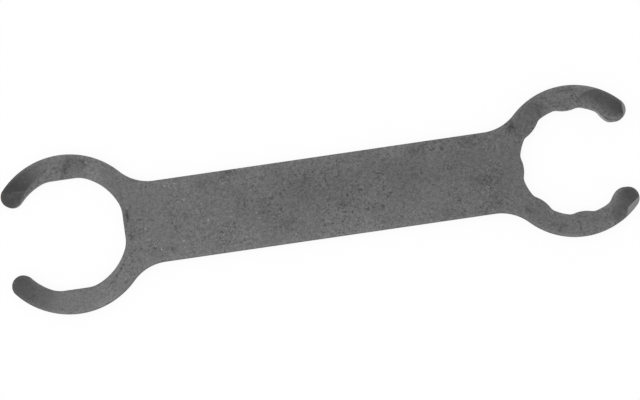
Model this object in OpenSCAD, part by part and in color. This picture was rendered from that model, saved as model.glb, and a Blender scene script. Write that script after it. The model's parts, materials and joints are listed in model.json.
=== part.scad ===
// Open-end wrench for large round caps: one flat steel plate with a C-shaped jaw at each end of a plain handle.
// One jaw is round inside with three flats, the other has rounded lobes on an eight-place pattern.
// The plate lies on z = 0 with the handle along X, and the origin is under the middle of its overall length.

/* [Plate] */
// Thickness of the plate
plate_t = 4; // [2.5:0.5:8]

/* [Handle] */
// Width of the handle
handle_w = 36.8; // [28:0.2:44]
// Distance between the centres of the two jaws
jaw_spacing = 229.4; // [160:0.2:320]

/* [Flats jaw] */
// Distance between the two side flats; the back flat lies half of it from the centre
flats_across = 50; // [44:0.1:51.5]
// Diameter of the round between the flats
flats_bore_d = 52.3; // [51:0.1:60]
// Outer diameter of the jaw
flats_outer_d = 72.1; // [62:0.1:90]
// Width of the mouth between the round tips
flats_mouth_w = 30.8; // [20:0.2:40]
// Radius that blends each flat into the round
flats_corner_r = 13; // [4:0.5:18]
// Radius of the blend between the jaw and the handle
flats_neck_r = 20.4; // [8:0.2:40]

/* [Lobed jaw] */
// Diameter across the crests of opposite lobes
lobe_crest_d = 46; // [42:0.1:48]
// Diameter of the round between the lobes
lobe_root_d = 48.8; // [47:0.1:56]
// Radius of each lobe
lobe_r = 14; // [10:0.2:24]
// Radius that blends each lobe into the round
lobe_corner_r = 5; // [2:0.2:8]
// Outer diameter of the jaw
lobed_outer_d = 68.4; // [60:0.1:90]
// Width of the mouth between the tips
lobed_mouth_w = 30; // [26:0.2:36]
// Radius of the two rounded corners of each tip
lobed_tip_r = 5.1; // [3:0.1:6.5]
// Radius of the blend between the jaw and the handle
lobed_neck_r = 20.7; // [8:0.2:40]

/* [Hidden] */
$fn = 160;
// How far cutting shapes run past what they cut
past = 1;
// How far a blend bites into what it joins, so that their edges cross and don't only touch
bite = 0.01;

// Flats jaw: each tip is a full round between the bore and the outside
flats_outer_r = flats_outer_d / 2;
flats_bore_r = flats_bore_d / 2;
flats_wall = flats_outer_r - flats_bore_r;
flats_tip_r = flats_wall / 2;
flats_tip_y = flats_mouth_w / 2 + flats_tip_r;
flats_tip = [leg(flats_outer_r - flats_tip_r, flats_tip_y), flats_tip_y];
flats_reach = flats_tip.x + flats_tip_r;
// Centre of the blend at one end of a flat that lies towards +X
flats_corner_x = flats_across / 2 - flats_corner_r;
flats_corner = [flats_corner_x, leg(flats_bore_r - flats_corner_r, flats_corner_x)];

// Lobed jaw: the mouth takes the first of the lobe places, and the tips end on the lobes beside it
lobe_places = 8;
lobe_pitch = 360 / lobe_places;
lobe_root_r = lobe_root_d / 2;
lobe_centre_r = lobe_crest_d / 2 + lobe_r;
lobed_outer_r = lobed_outer_d / 2;
lobed_wall = lobed_outer_r - lobe_root_r;
// Centre of the blend beside a lobe: how far out it lies, and the angle between it and the lobe, seen from the jaw
lobe_corner_out = lobe_root_r - lobe_corner_r;
lobe_corner_turn = opposite(lobe_corner_out, lobe_centre_r, lobe_r + lobe_corner_r);
tip_lobe = lobe_centre_r * [cos(lobe_pitch), sin(lobe_pitch)];
lobed_tip_y = lobed_mouth_w / 2 + lobed_tip_r;
// Outer corner of a tip: touches the outside of the jaw and the side of the mouth
tip_outer = [leg(lobed_outer_r - lobed_tip_r, lobed_tip_y), lobed_tip_y];
// Inner corner of a tip: touches the lobe and the side of the mouth
tip_inner_x = tip_lobe.x - leg(lobe_r - lobed_tip_r, tip_lobe.y - lobed_tip_y);
tip_inner = [min(tip_inner_x, tip_outer.x - bite), lobed_tip_y];
lobed_reach = tip_outer.x + lobed_tip_r;

// Places of the jaw centres along X
overall_l = flats_reach + jaw_spacing + lobed_reach;
flats_x = flats_reach - overall_l / 2;
lobed_x = overall_l / 2 - lobed_reach;

// Other leg of a right triangle
function leg(hypotenuse, side) = sqrt(max(0, hypotenuse ^ 2 - side ^ 2));

// Angle between two sides of a triangle, from the side that faces it
function opposite(a, b, facing) = acos(min(1, (a ^ 2 + b ^ 2 - facing ^ 2) / (2 * a * b)));

// Vector of length 1
function unit(v) = v / norm(v);

// Places a shape on both sides of the handle's centre line
module both_sides() {
    children();
    mirror([0, 1]) children();
}

// A flat shape as a piece of the plate
module plate() {
    linear_extrude(plate_t) children();
}

// A flat shape as a cut right through the plate
module cut() {
    translate([0, 0, -past]) linear_extrude(plate_t + 2 * past) children();
}

// Waist that blends a jaw into the handle on its -X side
module neck(outer_r, neck_r) {
    y = handle_w / 2 + neck_r;
    x = leg(outer_r + neck_r, y);
    difference() {
        polygon([[0, 0], [-x, y], [-x, -y]]);
        both_sides() translate([-x, y]) circle(neck_r + bite);
    }
}

// Filling that rounds an inside corner, about the centre of its radius, from the +X direction over an angle
module corner_blend(corner_r, angle) {
    far = corner_r + past;
    difference() {
        polygon([[0, 0], [far, 0], far * [cos(angle), sin(angle)]]);
        circle(corner_r + bite);
    }
}

// Outside of a jaw with its neck
module jaw_blank(outer_r, neck_r) {
    plate() circle(outer_r);
    plate() neck(outer_r, neck_r);
}

// Opening of the flats jaw: a round bore held in by a flat on each side and one at the back
module flats_opening() {
    half = flats_across / 2;
    intersection() {
        circle(flats_bore_r);
        translate([-half, -half]) square([half + flats_bore_d, flats_across]);
    }
}

// Blends at both ends of each of the three flats
module flats_corners() {
    angle = atan2(flats_corner.y, flats_corner.x);
    for (flat = [90, 180, 270], side = [-1, 1])
        plate() rotate(flat) translate([flats_corner.x, side * flats_corner.y])
            corner_blend(flats_corner_r, side * angle);
}

// Mouth of the flats jaw, as far as the centres of the round tips
module flats_mouth() {
    far = flats_outer_r + past;
    rise = far * flats_tip.y / flats_tip.x;
    polygon([[0, 0], [far, -rise], [far, rise]]);
}

// Jaw with three flats, mouth towards +X
module flats_jaw() {
    difference() {
        jaw_blank(flats_outer_r, flats_neck_r);
        cut() flats_opening();
        cut() flats_mouth();
    }
    flats_corners();
    both_sides() translate(flats_tip) plate() circle(flats_tip_r + bite);
}

// Opening of the lobed jaw: a round bore with lobes standing into it
module lobed_opening() {
    difference() {
        circle(lobe_root_r);
        for (place = [1 : lobe_places - 1])
            rotate(place * lobe_pitch) translate([lobe_centre_r, 0]) circle(lobe_r);
    }
}

// Blends between the lobes and the round, a pair in each valley
module lobe_corners() {
    angle = 180 - opposite(lobe_corner_out, lobe_r + lobe_corner_r, lobe_centre_r);
    turn = lobe_pitch / 2 - lobe_corner_turn;
    for (valley = [1 : lobe_places - 2], side = [-1, 1])
        plate() rotate((valley + 0.5) * lobe_pitch + side * turn) translate([lobe_corner_out, 0])
            corner_blend(lobe_corner_r, side * angle);
}

// Mouth of the lobed jaw, as far as the centres of the tips' rounded corners
module lobed_mouth() {
    far = lobed_outer_r + past;
    inside = tip_lobe + (lobe_r + past) * unit(tip_inner - tip_lobe);
    outside = far * unit(tip_outer);
    upper = [inside, tip_inner, tip_outer, outside, [far, outside.y]];
    lower = [for (i = [len(upper) - 1 : -1 : 0]) [upper[i].x, -upper[i].y]];
    polygon(concat(upper, lower));
}

// Rounded end of one arm of the lobed jaw
module lobed_tip() {
    for (corner = [tip_inner, tip_outer]) translate(corner) plate() circle(lobed_tip_r + bite);
    translate([tip_inner.x, lobed_mouth_w / 2]) plate() square([tip_outer.x - tip_inner.x, lobed_tip_r]);
}

// Jaw with lobes, mouth towards +X
module lobed_jaw() {
    difference() {
        jaw_blank(lobed_outer_r, lobed_neck_r);
        cut() lobed_opening();
        cut() lobed_mouth();
    }
    lobe_corners();
    both_sides() lobed_tip();
}

// Handle between the middles of the two jaw walls
module handle() {
    start = flats_x + flats_outer_r - flats_wall / 2;
    end = lobed_x - lobed_outer_r + lobed_wall / 2;
    translate([start, -handle_w / 2]) plate() square([end - start, handle_w]);
}

// The whole wrench, cut from one plate
module wrench_plate() {
    color([0.42, 0.42, 0.42]) {
        translate([flats_x, 0]) rotate(180) flats_jaw();
        translate([lobed_x, 0]) lobed_jaw();
        handle();
    }
}

wrench_plate();
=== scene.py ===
import json
import math

import bmesh
import bpy
from mathutils import Matrix, Vector


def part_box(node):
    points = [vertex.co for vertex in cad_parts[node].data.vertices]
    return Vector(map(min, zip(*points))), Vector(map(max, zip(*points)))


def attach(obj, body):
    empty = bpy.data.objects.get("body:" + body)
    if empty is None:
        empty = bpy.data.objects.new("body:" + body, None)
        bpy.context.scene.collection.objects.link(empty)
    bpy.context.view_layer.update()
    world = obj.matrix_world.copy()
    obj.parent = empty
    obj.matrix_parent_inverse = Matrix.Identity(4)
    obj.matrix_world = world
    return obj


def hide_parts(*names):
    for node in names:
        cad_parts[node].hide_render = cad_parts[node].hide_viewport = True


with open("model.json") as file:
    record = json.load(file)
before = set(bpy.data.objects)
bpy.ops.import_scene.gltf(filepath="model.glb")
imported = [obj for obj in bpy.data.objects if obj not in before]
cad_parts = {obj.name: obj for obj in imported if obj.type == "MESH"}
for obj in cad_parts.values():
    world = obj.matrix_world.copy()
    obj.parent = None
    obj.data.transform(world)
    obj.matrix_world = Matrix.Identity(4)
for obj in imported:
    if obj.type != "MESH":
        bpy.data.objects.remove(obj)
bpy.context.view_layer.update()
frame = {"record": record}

# Open-end wrench cut from one steel plate. The plate is drawn again here with its sharp edges
# broken, and gets its tumbled, tarnished steel. Sizes are in metres, and those of the marks in mm.
# The places of the jaws and the thickness come from the frame.

MM = 0.001
QUARTER_TURN = math.pi / 2
mount_places = {mount["name"]: Vector(mount["pos_m"]) for mount in frame["record"]["mounts"]}
plate_low, plate_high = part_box("wrench_plate")
plate_t = plate_high.z - plate_low.z

# Handle
handle_half = 18.4 * MM

# Flats jaw, mouth towards -X: each tip is a full round between the bore and the outside
flats_x = mount_places["flats_jaw"].x
flats_half = mount_places["drive_flat_left"].y
flats_bore_r = 26.15 * MM
flats_outer_r = plate_high.y
flats_mouth_half = 15.4 * MM
flats_corner_r = 13.0 * MM
flats_neck_r = 20.4 * MM
flats_tip_r = (flats_outer_r - flats_bore_r) / 2

# Lobed jaw, mouth towards +X: the mouth takes the first place and the tips end on the lobes beside it
lobed_x = mount_places["lobed_jaw"].x
lobe_places = 8
lobe_pitch = math.tau / lobe_places
lobe_crest_r = 23.0 * MM
lobe_root_r = 24.4 * MM
lobe_r = 14.0 * MM
lobe_corner_r = 5.0 * MM
lobed_outer_r = 34.2 * MM
lobed_mouth_half = 15.0 * MM
lobed_tip_r = 5.1 * MM
lobed_neck_r = 20.7 * MM

# Edges: radius of the broken edge and its steps, the band of the face beside it that carries a painted
# highlight, and the angle between faces from which an edge stays sharp
edge_break = 0.22 * MM
edge_segments = 3
edge_band = 1.6 * MM
sharp_angle = math.radians(25)

# Mesh: angle of one step of an arc, how near two points count as one, how level and many-cornered
# the wide faces are, and how far down the broken edge the cut wall starts
arc_step = math.radians(2.5)
same_point = 1e-6
level_normal = 0.99
many_corners = 8
wall_from = 0.95

# Tones of the steel: the tumbled face, the cut walls, and the lighter outer corners of the lobed jaw's tips
face_grey = 0.1316
wall_grey = 0.206
corner_grey = 0.214

# Studio: a soft lamp overhead, a little to the left and the front, an even room, and a white floor
softbox_place = (-0.67, -0.22, 1.28)
softbox_size = 1.6
softbox_radiance = 0.7
room_light = 0.85
floor_half = 6
floor_drop = 0.1 * MM
floor_grey = 0.98
floor_glow = 0.9

# Camera as fitted to the photo: its lens, its turns in degrees, and how far it stands from the
# middle of the upper face, along its own axes
sensor_width = 36
lens = 112.5
camera_turns = (5.0467, 1.3382, -8.3129)
camera_stand = Vector((0.4878, -1.0765, 897.4895)) * MM

# Marks on the upper face: how strong, their middle and half sizes in mm, and their turn in degrees.
# Grimy ones are uneven, cloudy ones are soft, and rubbed ones are lighter than the rest.
grimy_marks = [
    (0.12, (-110.0, 31.4), (1.4, 3.2), -12),
    (0.14, (-112.2, 28.8), (1.5, 2.8), -15),
    (0.12, (-103.0, 31.0), (1.4, 1.4), 0),
    (0.12, (-105.5, 31.5), (3.5, 3.0), 0),
    (0.16, (-86.5, 5.2), (0.8, 3.2), 8),
    (0.14, (-85.6, -4.8), (1.6, 2.6), 0),
    (0.22, (-76.0, -13.5), (2.6, 1.8), 0),
    (0.24, (-67.6, -13.2), (1.2, 1.6), 0),
    (0.22, (-60.7, 0.2), (1.6, 1.4), 0),
    (0.26, (-52.0, 14.1), (2.6, 2.0), 0),
    (0.26, (-38.9, 16.6), (2.4, 1.6), 0),
    (0.12, (-25.0, -2.0), (4.0, 2.6), 0),
    (0.18, (-6.0, 8.2), (8.0, 4.6), 10),
    (0.16, (-14.0, -9.4), (3.2, 1.8), 10),
    (0.12, (8.0, 11.2), (3.6, 2.4), 0),
    (0.18, (10.5, -4.0), (3.2, 1.8), 10),
    (0.16, (25.2, -8.0), (3.0, 1.8), 0),
    (0.05, (43.0, 6.0), (7.0, 4.0), 0),
    (0.24, (47.0, 15.0), (5.0, 2.0), 5),
    (0.18, (69.0, 15.0), (3.6, 2.2), 0),
    (0.15, (74.0, -2.3), (6.5, 2.2), 0),
    (0.26, (79.0, -13.5), (2.0, 1.8), 0),
    (0.26, (91.8, -19.0), (2.2, 1.0), -30),
    (0.20, (96.0, -24.7), (1.2, 1.2), 0),
    (0.14, (106.0, -28.4), (2.6, 2.0), 0),
    (0.20, (103.4, 26.4), (1.2, 2.2), 35),
    (0.14, (99.4, 27.2), (1.2, 1.2), 0),
]
cloudy_marks = [
    (0.12, (24.0, 3.0), (64.0, 10.0), 2),
    (0.12, (-36.0, 4.0), (5.0, 7.0), 0),
    (0.10, (-17.0, 12.5), (6.0, 3.0), 0),
    (0.18, (97.8, 23.6), (9.0, 4.2), 42),
    (0.20, (102.8, 23.0), (2.8, 3.6), 0),
    (0.08, (-107.0, 31.0), (6.0, 4.0), -10),
    (0.11, (-111.5, 26.8), (6.0, 2.6), -5),
    (0.08, (-80.0, 3.5), (6.5, 8.0), 0),
    (0.10, (-73.0, -16.8), (3.4, 2.2), 0),
]
rubbed_marks = [
    (0.20, (-98.3, 24.6), (2.6, 4.0), 15),
    (0.14, (-98.0, -29.5), (8.0, 5.0), 40),
    (0.07, (-15.0, -16.5), (48.0, 4.0), 0),
    (0.16, (38.0, 16.2), (6.0, 2.8), 0),
    (0.07, (114.0, 29.5), (11.0, 4.0), 0),
    (0.09, (120.5, -31.4), (10.0, 2.4), 12),
    (0.16, (119.2, 24.8), (2.2, 1.3), 0),
    (0.18, (123.3, 32.4), (6.0, 1.3), -13),
]

# Arms of the flats jaw, where the grain is worn smoother, given in the same way
smooth_marks = [
    (0.27, (-116.0, 29.6), (9.0, 6.0), 20),
    (0.50, (-119.0, -29.0), (9.0, 6.0), -20),
]

# Finer dark marks on the upper face: how strong, their two ends and their half width in mm.
# The first eight make a star-shaped stain in the neck of the lobed jaw.
fine_marks = [
    (0.28, (89.6, 19.3), (91.0, 18.95), 0.75),
    (0.14, (89.8, 19.6), (90.6, 17.6), 2.4),
    (0.40, (89.25, 18.6), (88.8, 16.4), 0.45),
    (0.13, (90.8, 18.5), (92.2, 15.7), 0.45),
    (0.14, (91.4, 18.5), (93.0, 17.9), 0.45),
    (0.22, (89.9, 21.2), (90.3, 20.2), 0.9),
    (0.36, (88.0, 18.25), (87.8, 18.15), 0.45),
    (0.16, (87.5, 16.8), (87.5, 16.5), 0.4),
    (0.14, (80.6, -12.6), (80.2, -16.2), 1.2),
    (0.16, (91.2, -18.6), (92.4, -19.4), 0.7),
    (0.56, (112.7, -27.15), (113.7, -27.7), 0.36),
    (0.44, (114.05, -28.3), (113.95, -32.0), 0.34),
    (0.26, (105.1, -28.7), (105.0, -29.1), 0.4),
    (0.46, (104.5, -30.2), (104.3, -30.5), 0.55),
    (0.24, (106.2, -27.7), (108.2, -28.5), 0.5),
    (0.30, (103.0, -26.35), (102.7, -26.5), 0.55),
    (0.22, (105.7, -24.35), (105.4, -24.45), 0.5),
    (0.20, (115.0, -24.8), (112.9, -24.9), 0.9),
    (0.16, (134.9, -24.4), (134.7, -24.7), 0.5),
    (0.26, (120.9, 28.1), (122.8, 24.9), 0.3),
    (0.30, (119.7, 27.0), (120.4, 25.8), 0.35),
    (0.32, (112.6, 31.9), (119.6, 31.9), 0.6),
    (0.12, (123.4, 28.9), (129.6, 30.0), 0.8),
    (0.10, (128.5, 27.5), (131.0, 24.3), 0.6),
    (0.14, (140.5, 18.8), (140.4, 18.2), 0.5),
    (0.50, (-86.1, 6.2), (-86.6, 2.6), 0.65),
    (0.14, (-87.9, 10.0), (-88.0, -1.0), 1.2),
    (0.28, (-84.6, 9.0), (-84.8, 6.9), 0.6),
    (0.26, (-85.9, -5.6), (-85.7, -7.0), 0.55),
    (0.30, (-77.1, -11.9), (-74.7, -11.7), 0.4),
    (0.26, (-68.3, -13.1), (-68.0, -13.6), 0.6),
    (0.54, (-91.4, -17.35), (-90.9, -17.1), 0.45),
    (0.72, (-92.2, -18.6), (-92.3, -18.9), 0.45),
    (0.36, (-92.6, -19.3), (-94.2, -21.0), 0.4),
    (0.52, (-94.7, -21.5), (-94.9, -22.0), 0.5),
    (0.44, (-96.3, -24.2), (-97.9, -24.5), 0.45),
    (0.26, (-90.8, -24.6), (-91.2, -25.1), 0.5),
    (0.20, (-96.9, -27.5), (-97.5, -27.5), 0.5),
    (0.20, (-83.9, -16.1), (-84.6, -16.2), 0.45),
    (0.34, (-103.1, 31.5), (-103.2, 30.9), 0.5),
    (0.25, (-115.9, 30.3), (-116.0, 29.7), 0.5),
    (0.20, (-109.4, 33.4), (-110.0, 30.6), 1.0),
    (0.22, (-111.9, 30.2), (-112.3, 26.8), 1.1),
]
# Fine light scratches on the dark tips, given in the same way
fine_scratches = [
    (0.16, (-135.5, 22.1), (-131.6, 21.5), 0.3),
    (0.16, (-130.2, 26.2), (-130.0, 26.2), 0.4),
    (0.14, (-132.7, 25.8), (-132.6, 25.8), 0.35),
    (0.12, (-137.6, 20.6), (-137.2, 20.4), 0.8),
    (0.14, (-135.5, 18.1), (-135.2, 17.9), 0.5),
    (0.14, (134.3, -21.4), (135.2, -20.9), 0.3),
    (0.10, (133.5, -24.7), (134.5, -26.6), 0.3),
    (0.30, (135.4, 16.3), (137.0, 16.3), 0.5),
]


def leg(hypotenuse, side):
    """Other leg of a right triangle."""
    return math.sqrt(hypotenuse**2 - side**2)


def polar(radius, angle):
    """Place on a circle about the origin of the plate."""
    return Vector((radius * math.cos(angle), radius * math.sin(angle), 0))


def heading(place):
    """Angle at which a place lies, seen from the origin."""
    return math.atan2(place.y, place.x)


def put_in_scene(name, data):
    """New object in the scene, at the origin."""
    thing = bpy.data.objects.new(name, data)
    bpy.context.scene.collection.objects.link(thing)
    return thing


def show_mesh(name, bm):
    """Object with the mesh of a finished bmesh."""
    mesh = bpy.data.meshes.new(name)
    bm.to_mesh(mesh)
    bm.free()
    return put_in_scene(name, mesh)


class OutlineWalk:
    """Walks along the plate's outline and leaves a chain of edges behind it."""

    def __init__(self, bm, start):
        self.bm = bm
        self.at = bm.verts.new(start)

    def straight(self, place):
        """Straight edge to a place."""
        grown = bmesh.ops.extrude_vert_indiv(self.bm, verts=[self.at])
        self.at = grown["verts"][0]
        self.at.co = place

    def arc(self, centre, end, left):
        """Arc about a centre, to the angle at which it ends, turning left or right."""
        sweep = (end - heading(self.at.co - centre)) % math.tau
        if not left:
            sweep -= math.tau
        steps = max(2, math.ceil(abs(sweep) / arc_step))
        swept = bmesh.ops.spin(
            self.bm, geom=[self.at], cent=centre, axis=(0, 0, 1), angle=sweep, steps=steps, use_merge=False
        )
        self.at = next(part for part in swept["geom_last"] if isinstance(part, bmesh.types.BMVert))


def neck_centre(outer_r, neck_r):
    """Centre of the blend between a jaw and the handle, seen from the centre of a jaw on the left."""
    y = handle_half + neck_r
    return Vector((leg(outer_r + neck_r, y), y, 0))


def walk_flats_jaw(walk, centre):
    """From the middle of the back flat round the inside, the tip and the outside, to the neck's end."""
    blend_x = flats_half - flats_corner_r
    blend = Vector((blend_x, leg(flats_bore_r - flats_corner_r, blend_x), 0))
    turned = Vector((blend.y, blend.x, 0))
    beyond = Vector((-blend.y, blend.x, 0))
    tip_y = flats_mouth_half + flats_tip_r
    tip = Vector((-leg(flats_outer_r - flats_tip_r, tip_y), tip_y, 0))
    neck = neck_centre(flats_outer_r, flats_neck_r)
    walk.straight(centre + Vector((flats_half, blend.y, 0)))
    walk.arc(centre + blend, heading(blend), left=True)
    walk.arc(centre, heading(turned), left=True)
    walk.arc(centre + turned, QUARTER_TURN, left=True)
    walk.straight(centre + Vector((-blend.y, flats_half, 0)))
    walk.arc(centre + beyond, heading(beyond), left=True)
    walk.arc(centre, heading(tip), left=True)
    walk.arc(centre + tip, heading(tip), left=False)
    walk.arc(centre, heading(neck), left=False)
    walk.arc(centre + neck, -QUARTER_TURN, left=True)


def walk_lobed_jaw(walk, centre):
    """From the handle's end round the neck, the outside, the tip and the lobes, to the back lobe."""
    neck = neck_centre(lobed_outer_r, lobed_neck_r)
    neck.x = -neck.x
    lobe_centre_r = lobe_crest_r + lobe_r
    tip_lobe = polar(lobe_centre_r, lobe_pitch)
    tip_y = lobed_mouth_half + lobed_tip_r
    tip_outer = Vector((leg(lobed_outer_r - lobed_tip_r, tip_y), tip_y, 0))
    tip_inner = Vector((tip_lobe.x - leg(lobe_r - lobed_tip_r, tip_lobe.y - tip_y), tip_y, 0))
    walk.straight(centre + neck + Vector((0, -lobed_neck_r, 0)))
    walk.arc(centre + neck, heading(-neck), left=True)
    walk.arc(centre, heading(tip_outer), left=False)
    walk.arc(centre + tip_outer, -QUARTER_TURN, left=False)
    walk.straight(centre + tip_inner + Vector((0, -lobed_tip_r, 0)))
    walk.arc(centre + tip_inner, heading(tip_inner - tip_lobe), left=False)
    blend_out = lobe_root_r - lobe_corner_r
    sides = blend_out**2 + lobe_centre_r**2 - (lobe_r + lobe_corner_r) ** 2
    blend_turn = math.acos(sides / (2 * blend_out * lobe_centre_r))
    for place in range(1, lobe_places // 2):
        lobe = polar(lobe_centre_r, place * lobe_pitch)
        next_lobe = polar(lobe_centre_r, (place + 1) * lobe_pitch)
        blend = polar(blend_out, place * lobe_pitch + blend_turn)
        next_blend = polar(blend_out, (place + 1) * lobe_pitch - blend_turn)
        walk.arc(centre + lobe, heading(blend - lobe), left=False)
        walk.arc(centre + blend, heading(blend), left=True)
        walk.arc(centre, heading(next_blend), left=True)
        walk.arc(centre + next_blend, heading(next_lobe - next_blend), left=True)
    walk.arc(centre + polar(lobe_centre_r, math.pi), 0, left=False)


def cut_wrench_plate():
    """The plate: half the outline walked, mirrored, filled, made thick, and its sharp edges broken."""
    bm = bmesh.new()
    flats_centre = Vector((flats_x, 0, 0))
    lobed_centre = Vector((lobed_x, 0, 0))
    walk = OutlineWalk(bm, flats_centre + Vector((flats_half, 0, 0)))
    walk_flats_jaw(walk, flats_centre)
    walk_lobed_jaw(walk, lobed_centre)
    walk.at.co.y = 0
    half = bm.verts[:] + bm.edges[:]
    bmesh.ops.mirror(bm, geom=half, matrix=Matrix(), merge_dist=same_point, axis="Y")
    bmesh.ops.remove_doubles(bm, verts=bm.verts[:], dist=same_point)
    bmesh.ops.contextual_create(bm, geom=bm.edges[:])
    risen = bmesh.ops.extrude_face_region(bm, geom=bm.faces[:])
    upper = [part for part in risen["geom"] if isinstance(part, bmesh.types.BMVert)]
    bmesh.ops.translate(bm, verts=upper, vec=(0, 0, plate_t))
    bmesh.ops.recalc_face_normals(bm, faces=bm.faces[:])
    level_edges = [edge for edge in bm.edges if abs(edge.verts[0].co.z - edge.verts[1].co.z) < plate_t / 2]
    bmesh.ops.bevel(
        bm,
        geom=level_edges,
        offset=edge_break,
        offset_type="OFFSET",
        affect="EDGES",
        segments=edge_segments,
        profile=0.5,
        material=-1,
    )
    level_faces = [face for face in bm.faces if abs(face.normal.z) > level_normal]
    wide_faces = [face for face in level_faces if len(face.verts) > many_corners]
    bmesh.ops.inset_region(
        bm, faces=wide_faces, thickness=edge_band, use_even_offset=True, use_boundary=True
    )
    mark_edges_and_walls(bm, wide_faces)
    for face in bm.faces:
        face.smooth = face not in wide_faces
    for edge in bm.edges:
        edge.smooth = edge.calc_face_angle(0) < sharp_angle
    return show_mesh("wrench_plate_dressed", bm)


def mark_edges_and_walls(bm, wide_faces):
    """Two marks for the finish: how near the broken edge a place is, for the painted highlight there, and
    whether it is on a cut wall.
    """
    near_edge = bm.verts.layers.float.new("near_edge")
    cut_wall = bm.verts.layers.float.new("cut_wall")
    inner = {vert for face in wide_faces for vert in face.verts}
    for vert in bm.verts:
        vert[near_edge] = 0.0 if vert in inner else 1.0
        depth = min(vert.co.z, plate_t - vert.co.z)
        vert[cut_wall] = 1.0 if depth > wall_from * edge_break else 0.0


class Level:
    """A number that changes over the surface. Arithmetic on it adds Math nodes."""

    def __init__(self, tree, socket):
        self.tree = tree
        self.socket = socket

    def math(self, operation, first, second):
        node = self.tree.add("ShaderNodeMath", {"operation": operation}, {0: first, 1: second})
        return Level(self.tree, node.outputs[0])

    def __add__(self, other):
        return self.math("ADD", self, other)

    def __radd__(self, other):
        return self.math("ADD", other, self)

    def __sub__(self, other):
        return self.math("SUBTRACT", self, other)

    def __rsub__(self, other):
        return self.math("SUBTRACT", other, self)

    def __mul__(self, other):
        return self.math("MULTIPLY", self, other)

    def __rmul__(self, other):
        return self.math("MULTIPLY", other, self)

    def __pow__(self, other):
        return self.math("POWER", self, other)

    def __rpow__(self, other):
        return self.math("POWER", other, self)


class Tree:
    """The nodes of one material or of the world."""

    def __init__(self, owner):
        owner.use_nodes = True
        self.nodes = owner.node_tree.nodes
        self.links = owner.node_tree.links
        self.nodes.clear()

    def add(self, kind, settings=None, sockets=None):
        """A node of a kind: its settings first, then the values or links of its sockets."""
        node = self.nodes.new(kind)
        for name, value in (settings or {}).items():
            setattr(node, name, value)
        for name, value in (sockets or {}).items():
            if isinstance(value, Level):
                value = value.socket
            if isinstance(value, bpy.types.NodeSocket):
                self.links.new(value, node.inputs[name])
            else:
                node.inputs[name].default_value = value
        return node

    def level(self, kind, settings=None, sockets=None, output=0):
        """One output of a new node, as a number to reckon with."""
        return Level(self, self.add(kind, settings, sockets).outputs[output])

    def mark(self, name):
        """One of the marks that the plate's mesh carries."""
        return self.level("ShaderNodeAttribute", {"attribute_name": name}, output="Fac")

    def moved(self, place, **change):
        """A place after a change of its Location or Scale."""
        return self.add("ShaderNodeMapping", sockets={"Vector": place, **change}).outputs[0]

    def noise(self, place, size, detail=2.0, roughness=0.5):
        """Soft noise about its middle value, with blotches of a size in mm."""
        sockets = {"Vector": place, "Scale": 1 / (size * MM), "Detail": detail, "Roughness": roughness}
        return self.level("ShaderNodeTexNoise", {"noise_dimensions": "3D"}, sockets) - 0.5

    def step(self, value, start, end):
        """Smooth step from 0 at start to 1 at end."""
        sockets = {"Value": value, "From Min": start, "From Max": end}
        return self.level("ShaderNodeMapRange", {"interpolation_type": "SMOOTHSTEP"}, sockets)

    def step_mm(self, value, start, end):
        """Smooth step of a length, from 0 at start to 1 at end, in mm."""
        return self.step(value, start * MM, end * MM)

    def step_degrees(self, value, start, end):
        """Smooth step of an angle, from 0 at start to 1 at end, in degrees."""
        return self.step(value, math.radians(start), math.radians(end))


def smudge(tree, place, middle, size, turn):
    """Soft oval mark on the face: its middle and half sizes in mm, and its turn in degrees."""
    sockets = {
        "Vector": place,
        "Location": (middle[0] * MM, middle[1] * MM, 0),
        "Rotation": (0, 0, math.radians(turn)),
        "Scale": (size[0] * MM, size[1] * MM, 1),
    }
    seen_from_mark = tree.add("ShaderNodeMapping", {"vector_type": "TEXTURE"}, sockets).outputs[0]
    both = {0: seen_from_mark, 1: seen_from_mark}
    away = tree.level("ShaderNodeVectorMath", {"operation": "DOT_PRODUCT"}, both, output="Value")
    return math.e ** (-1 * away)


def smudges(tree, place, marks):
    """All marks of one kind together."""
    total = 0
    for strength, middle, size, turn in marks:
        total = total + strength * smudge(tree, place, middle, size, turn)
    return total


def strokes(tree, place, marks):
    """All fine marks together, each drawn out from one end to the other."""
    total = 0
    for strength, start, end, half_width in marks:
        run = Vector(end) - Vector(start)
        middle = (Vector(start) + Vector(end)) / 2
        size = (run.length / 2 + half_width, half_width)
        turn = math.degrees(math.atan2(run.y, run.x))
        total = total + strength * smudge(tree, place, middle, size, turn)
    return total


def jaw_place(tree, x, y, centre_x):
    """Where a place lies about a jaw's centre: its angle and how far out it is."""
    dx = x - centre_x
    angle = tree.level("ShaderNodeMath", {"operation": "ARCTAN2"}, {0: y, 1: dx})
    return angle, (dx * dx + y * y) ** 0.5


def inside_jaws(tree, x, y):
    """1 where a place lies on the inside of a jaw, and 0 on the outside."""
    flats_out = jaw_place(tree, x, y, flats_x)[1]
    lobed_out = jaw_place(tree, x, y, lobed_x)[1]
    return tree.step_mm(flats_out, 28, 26.5) + tree.step_mm(lobed_out, 26.5, 25)


def shade_flats_tips(tree, x, y):
    """Painted shade on the flats jaw's tips; along the inside of the upper arm a light band narrows to the
    tip.
    """
    angle, out = jaw_place(tree, x, y, flats_x)
    band = tree.step_mm(out + 5.5 * MM * (angle - math.radians(113)), 27.9, 29.7)
    # The painted shade is a little fainter at the end of the upper tip
    fainter_end = 1 - 0.13 * tree.step_mm(y, 22.9, 22.2)
    upper = 0.63 * tree.step_degrees(angle, 95, 131) * (0.12 + 0.88 * band) * fainter_end
    below = -1 * angle
    lower = 0.28 * tree.step_degrees(below, 103, 117) + 0.24 * tree.step_degrees(below, 114, 144)
    lower = lower * (0.85 + 0.15 * tree.step_mm(out, 26.2, 28.4))
    return (upper + lower) * tree.step_mm(x, -85, -95)


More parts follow.
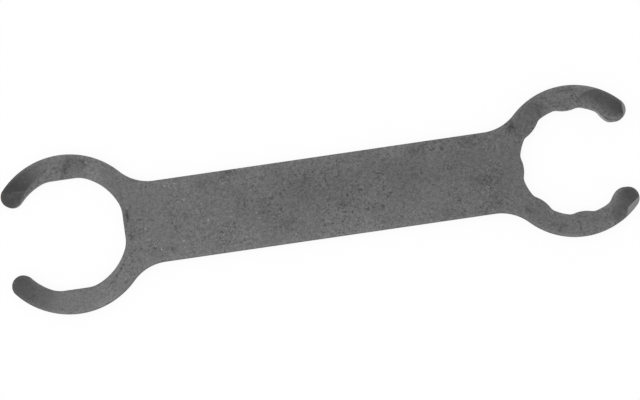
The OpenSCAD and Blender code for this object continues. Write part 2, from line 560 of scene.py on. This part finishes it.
def shade_lobed_tips(tree, x, y):
    """Painted shade on the lobed jaw's tips; on the upper one it stops at a sharp, curved border."""
    angle, out = jaw_place(tree, x, y, lobed_x)
    along = x - 129 * MM
    border = tree.step_mm(y + 50 * along * along, 31.0, 30.5)
    upper = 0.14 * tree.step_degrees(angle, 72, 60) + 0.12 * tree.step_degrees(angle, 56, 42)
    upper = upper * tree.step_mm(out, 23.6, 28.6)
    upper = upper + 0.29 * tree.step_degrees(angle, 79.2, 77.2) * tree.step_mm(out, 25.8, 30.8)
    upper = upper * border * tree.step_mm(y, 15.6, 18.8)
    below = -1 * angle
    lower = 0.29 * tree.step_degrees(below, 67.4, 62.4) + 0.25 * tree.step_degrees(below, 58, 35)
    slanting = out + 12 * MM * (angle + math.radians(45))
    lower = lower * tree.step_mm(slanting, 22.0, 28.2) * tree.step_mm(y, 0, -10)
    return (upper + lower) * tree.step_mm(x, 95, 105)


def shade_tips(tree, x, y, near_edge):
    """Painted shade on all four tips, weaker along the edges, except at the very ends of the flats jaw."""
    tips = shade_flats_tips(tree, x, y) + shade_lobed_tips(tree, x, y)
    return tips * (1 - 0.35 * near_edge * tree.step_mm(x, -140, -133))


def lighten_lobed_tip_corners(tree, x, y):
    """Outer corners of the lobed jaw's tips, lighter and smoother than the rest."""
    upper = tree.step_mm(x, 140.4, 140.8) * tree.step_mm(y, 16.2, 16.8)
    outward = (x - lobed_x) * 0.594 - y * 0.804
    slanting = x - 0.3125 * y
    lower = tree.step_mm(outward, 31.45, 31.75) * tree.step_mm(slanting, 143.5, 144.1)
    return upper + lower


def scatter_flecks(tree, place):
    """Dark flecks that gather in drifts: the drifts, the spots they start from, and the flecks."""
    drift = tree.step(tree.noise(place, 9), -0.08, 0.14)
    spots = tree.noise(place, 1.1, detail=1)
    return drift, spots, tree.step(spots, 0.08, 0.22) * (0.17 + 1.18 * drift)


def scatter_scuffs(tree, place, drift):
    """Faint scuffs, along the plate in the drifts and across it between them."""
    lengthways = tree.noise(tree.moved(place, Scale=(0.16, 1.0, 1.0)), 0.8)
    crossways = tree.noise(tree.moved(place, Scale=(1.0, 0.16, 1.0)), 0.8)
    return tree.step(lengthways, 0.1, 0.26) * drift + tree.step(crossways, 0.12, 0.28) * (1 - drift)


def scatter_specks(tree, place, x):
    """A few bright specks, most of them on the half with the flats jaw."""
    sockets = {"Vector": place, "Scale": 1 / (2.6 * MM)}
    pits = tree.add("ShaderNodeTexVoronoi", {"voronoi_dimensions": "2D"}, sockets)
    chosen = tree.step(Level(tree, pits.outputs["Color"]), 0.72, 0.92)
    chosen = chosen * (0.2 + 0.8 * tree.step_mm(x, 15, -25))
    return tree.step(Level(tree, pits.outputs["Distance"]), 0.24, 0.08) * chosen


def wander(tree, place, x, y):
    """A place led astray by a mm or so, which gives the marks laid on it uneven borders."""
    elsewhere = tree.moved(place, Location=(0.31, 0.17, 0.0))
    astray_x = x + 3.0 * MM * tree.noise(place, 3.2)
    astray_y = y + 3.0 * MM * tree.noise(elsewhere, 3.2)
    return tree.add("ShaderNodeCombineXYZ", sockets={"X": astray_x, "Y": astray_y}).outputs[0]


def lay_marks(tree, place, x, y, near_edge, spots):
    """Marks of use: grime, clouds and fine marks, less what is rubbed, and a painted shade and highlight
    along the edge inside the lobed jaw.
    """
    astray = wander(tree, place, x, y)
    grime = smudges(tree, astray, grimy_marks) * (0.4 + 1.1 * tree.step(spots, -0.2, 0.2))
    clouds = smudges(tree, astray, cloudy_marks)
    lightened = smudges(tree, astray, rubbed_marks)
    fine = strokes(tree, place, fine_marks) - strokes(tree, place, fine_scratches)
    # Painted shade in a band along the edge inside the lobed jaw, and a painted highlight on the edge
    # itself
    edge_shade_and_highlight = 0.36 * tree.step(near_edge, 0.4, 0.7) - 0.8 * tree.step(near_edge, 0.88, 0.98)
    edge_shade_and_highlight = edge_shade_and_highlight * smudge(tree, place, (132.0, 17.6), (5.5, 3.4), -45)
    return grime + clouds + fine + edge_shade_and_highlight - lightened


def towards_ends(tree, x, start, end):
    """Smooth step towards both ends of the plate, between two distances from its middle in mm."""
    return tree.step(x * x, (start * MM) ** 2, (end * MM) ** 2)


def liven_grain(tree, place, x, tips):
    """Strength of the grain: less on necks, lobed jaw and flats jaw's arms, and least on the dark tips."""
    on_necks = towards_ends(tree, x, 72, 84) * towards_ends(tree, x, 98, 90)
    strength = 1 - 0.16 * on_necks - 0.12 * tree.step_mm(x, 75, 100) - 0.82 * tips
    return strength - smudges(tree, place, smooth_marks)


def highlight_edges(tree, x, y):
    """Painted highlight: how much lighter the band beside the edges is, most on the lobed jaw and the flats
    jaw's rim.
    """
    flats_out = jaw_place(tree, x, y, flats_x)[1]
    inside = tree.step_mm(flats_out, 33, 29)
    rim = tree.step_mm(flats_out, 33, 35) * tree.step_mm(x, -88, -98)
    far_side = tree.step_mm(y, -6, 6)
    edge_highlight = 0.09 + 0.1 * tree.step_mm(x, 95, 108)
    return edge_highlight - inside * (0.05 + 0.06 * far_side) + rim * (0.04 + 0.12 * far_side)


def finish_walls(tree, place, x, y, coarse_grain):
    """Walls left by the cutting: their tone, painted light on the walls inside the jaws and on one wall of
    the lobed jaw, and their fine upright lines.
    """
    cut_lines = tree.noise(tree.moved(place, Scale=(1.0, 1.0, 0.06)), 0.45, roughness=0.6)
    # Painted light: the walls inside the jaws, and one spot on the wall of the lobed jaw's upper tip, are
    # made lighter
    lightened = 0.4 * inside_jaws(tree, x, y) + 0.9 * smudge(tree, place, (130.6, 17.8), (3.4, 1.6), -54)
    return wall_grey * (1 + 0.7 * cut_lines + 0.5 * coarse_grain) * (1 + lightened), cut_lines


def tumbled_steel():
    """Dull tumbled steel: fine grain, dark flecks in drifts, marks of use, painted shade on the jaw tips,
    painted highlights, and cut walls.
    """
    material = bpy.data.materials.new("tumbled_steel")
    tree = Tree(material)
    place = tree.add("ShaderNodeTexCoord").outputs["Object"]
    split = tree.add("ShaderNodeSeparateXYZ", sockets={0: place})
    x, y, z = [Level(tree, output) for output in split.outputs]
    upper = z * (1 / plate_t)
    near_edge = tree.mark("near_edge")
    cut_wall = tree.mark("cut_wall")

    # Grain of the metal, from coarse to fine, broad uneven tarnish, and what is scattered over it
    coarse_grain = tree.noise(place, 1.9, roughness=0.55)
    fine_grain = tree.noise(place, 0.7, roughness=0.6)
    tarnish = tree.noise(place, 16, detail=3)
    drift, spots, fleck = scatter_flecks(tree, place)
    scuff = scatter_scuffs(tree, place, drift)
    speck = scatter_specks(tree, place, x)

    # Marks of use, painted shade on the tips, painted shade and highlight along one edge, and lighter
    # corners, which fade out towards the lower face
    tips = upper * shade_tips(tree, x, y, near_edge)
    marks = upper * lay_marks(tree, place, x, y, near_edge, spots)
    light_corners = upper * lighten_lobed_tip_corners(tree, x, y)

    # Tone of the faces, then of the walls
    strength = liven_grain(tree, place, x, tips)
    blotches = (0.9 + 0.24 * drift) * (0.88 * coarse_grain + 1.62 * fine_grain)
    grain = 1 + strength * blotches + 0.4 * tarnish
    face_tone = face_grey * grain * (1 - marks - tips)
    face_tone = face_tone * (1 - 0.28 * fleck * strength) * (1 - 0.06 * scuff)
    # Painted highlight on the band beside the edges
    face_tone = face_tone * (1 + highlight_edges(tree, x, y) * near_edge)
    speck_tone = 0.11 - 0.066 * towards_ends(tree, x, 75, 100)
    face_tone = face_tone + speck_tone * speck * strength
    face_tone = face_tone + light_corners * (corner_grey - face_tone)
    wall_tone, cut_lines = finish_walls(tree, place, x, y, coarse_grain)
    tone = face_tone + cut_wall * (wall_tone - face_tone)

    # The Mix node's sockets 0, 6 and 7 are its factor and its two colours
    black_to_white = {0: tone, 6: (0.0, 0.0, 0.0, 1), 7: (1.0, 1.0, 1.0, 1)}
    colour = tree.add("ShaderNodeMix", {"data_type": "RGBA"}, black_to_white)
    roughness = 0.46 + 0.25 * coarse_grain + 0.2 * fine_grain + 0.08 * fleck - 0.1 * light_corners + 0.12 * cut_wall
    relief = 0.5 * fine_grain + 0.6 * coarse_grain - 0.35 * fleck + cut_wall * (1.4 * cut_lines)
    bump = tree.add("ShaderNodeBump", sockets={"Strength": 0.35, "Distance": 0.06 * MM, "Height": relief})
    steel = tree.add(
        "ShaderNodeBsdfPrincipled",
        sockets={
            "Base Color": colour.outputs[2],
            "Metallic": 0.9,
            "Roughness": roughness,
            "Specular Tint": (0.3, 0.3, 0.3, 1),
            "Normal": bump.outputs[0],
        },
    )
    tree.add("ShaderNodeOutputMaterial", sockets={"Surface": steel.outputs[0]})
    return material


def seen_rays(tree):
    """1 for rays that show a thing in the picture, straight or in gloss or glass, and 0 for the rest."""
    rays = tree.add("ShaderNodeLightPath")
    total = 0
    for name in ("Is Camera Ray", "Is Glossy Ray", "Is Transmission Ray"):
        total = total + Level(tree, rays.outputs[name])
    return total


def lay_floor():
    """White floor under the wrench, which keeps a faint shadow."""
    bm = bmesh.new()
    bmesh.ops.create_grid(bm, x_segments=1, y_segments=1, size=floor_half)
    bmesh.ops.translate(bm, verts=bm.verts[:], vec=(0, 0, plate_low.z - floor_drop))
    floor = show_mesh("floor", bm)
    material = bpy.data.materials.new("white_floor")
    tree = Tree(material)
    paint = tree.add("ShaderNodeBsdfDiffuse", sockets={"Color": (floor_grey, floor_grey, floor_grey, 1)})
    glow = tree.add("ShaderNodeEmission", sockets={"Color": (1, 1, 1, 1), "Strength": 1.0})
    layers = {0: floor_glow * seen_rays(tree), 1: paint.outputs[0], 2: glow.outputs[0]}
    mixed = tree.add("ShaderNodeMixShader", sockets=layers)
    tree.add("ShaderNodeOutputMaterial", sockets={"Surface": mixed.outputs[0]})
    floor.data.materials.append(material)


def hang_softbox():
    """Square soft lamp that faces the middle of the wrench."""
    lamp = bpy.data.lights.new("overhead_softbox", "AREA")
    lamp.shape = "SQUARE"
    lamp.size = softbox_size
    lamp.energy = softbox_radiance * math.pi * softbox_size**2
    box = put_in_scene("overhead_softbox", lamp)
    box.location = softbox_place
    box.rotation_euler = (-Vector(softbox_place)).to_track_quat("-Z", "Y").to_euler()


def paint_room():
    """Even pale room, which looks white in the picture and in reflections."""
    world = bpy.data.worlds.new("pale_room")
    bpy.context.scene.world = world
    tree = Tree(world)
    strength = room_light + (1 - room_light) * seen_rays(tree)
    room = tree.add("ShaderNodeBackground", sockets={"Color": (1, 1, 1, 1), "Strength": strength})
    tree.add("ShaderNodeOutputWorld", sockets={"Surface": room.outputs[0]})


def set_camera():
    """Camera above the wrench, tilted a little, with the handle rising to the right in the picture."""
    data = bpy.data.cameras.new("camera")
    data.sensor_width = sensor_width
    data.lens = lens
    camera = put_in_scene("camera", data)
    camera.rotation_mode = "YXZ"
    camera.rotation_euler = [math.radians(angle) for angle in camera_turns]
    middle = Vector((0, 0, plate_t))
    camera.location = camera.rotation_euler.to_matrix() @ camera_stand + middle
    bpy.context.scene.camera = camera


set_camera()
wrench = cut_wrench_plate()
wrench.data.materials.append(tumbled_steel())
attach(wrench, "root")
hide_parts("wrench_plate")
lay_floor()
hang_softbox()
paint_room()
bpy.context.scene.view_settings.view_transform = "Standard"
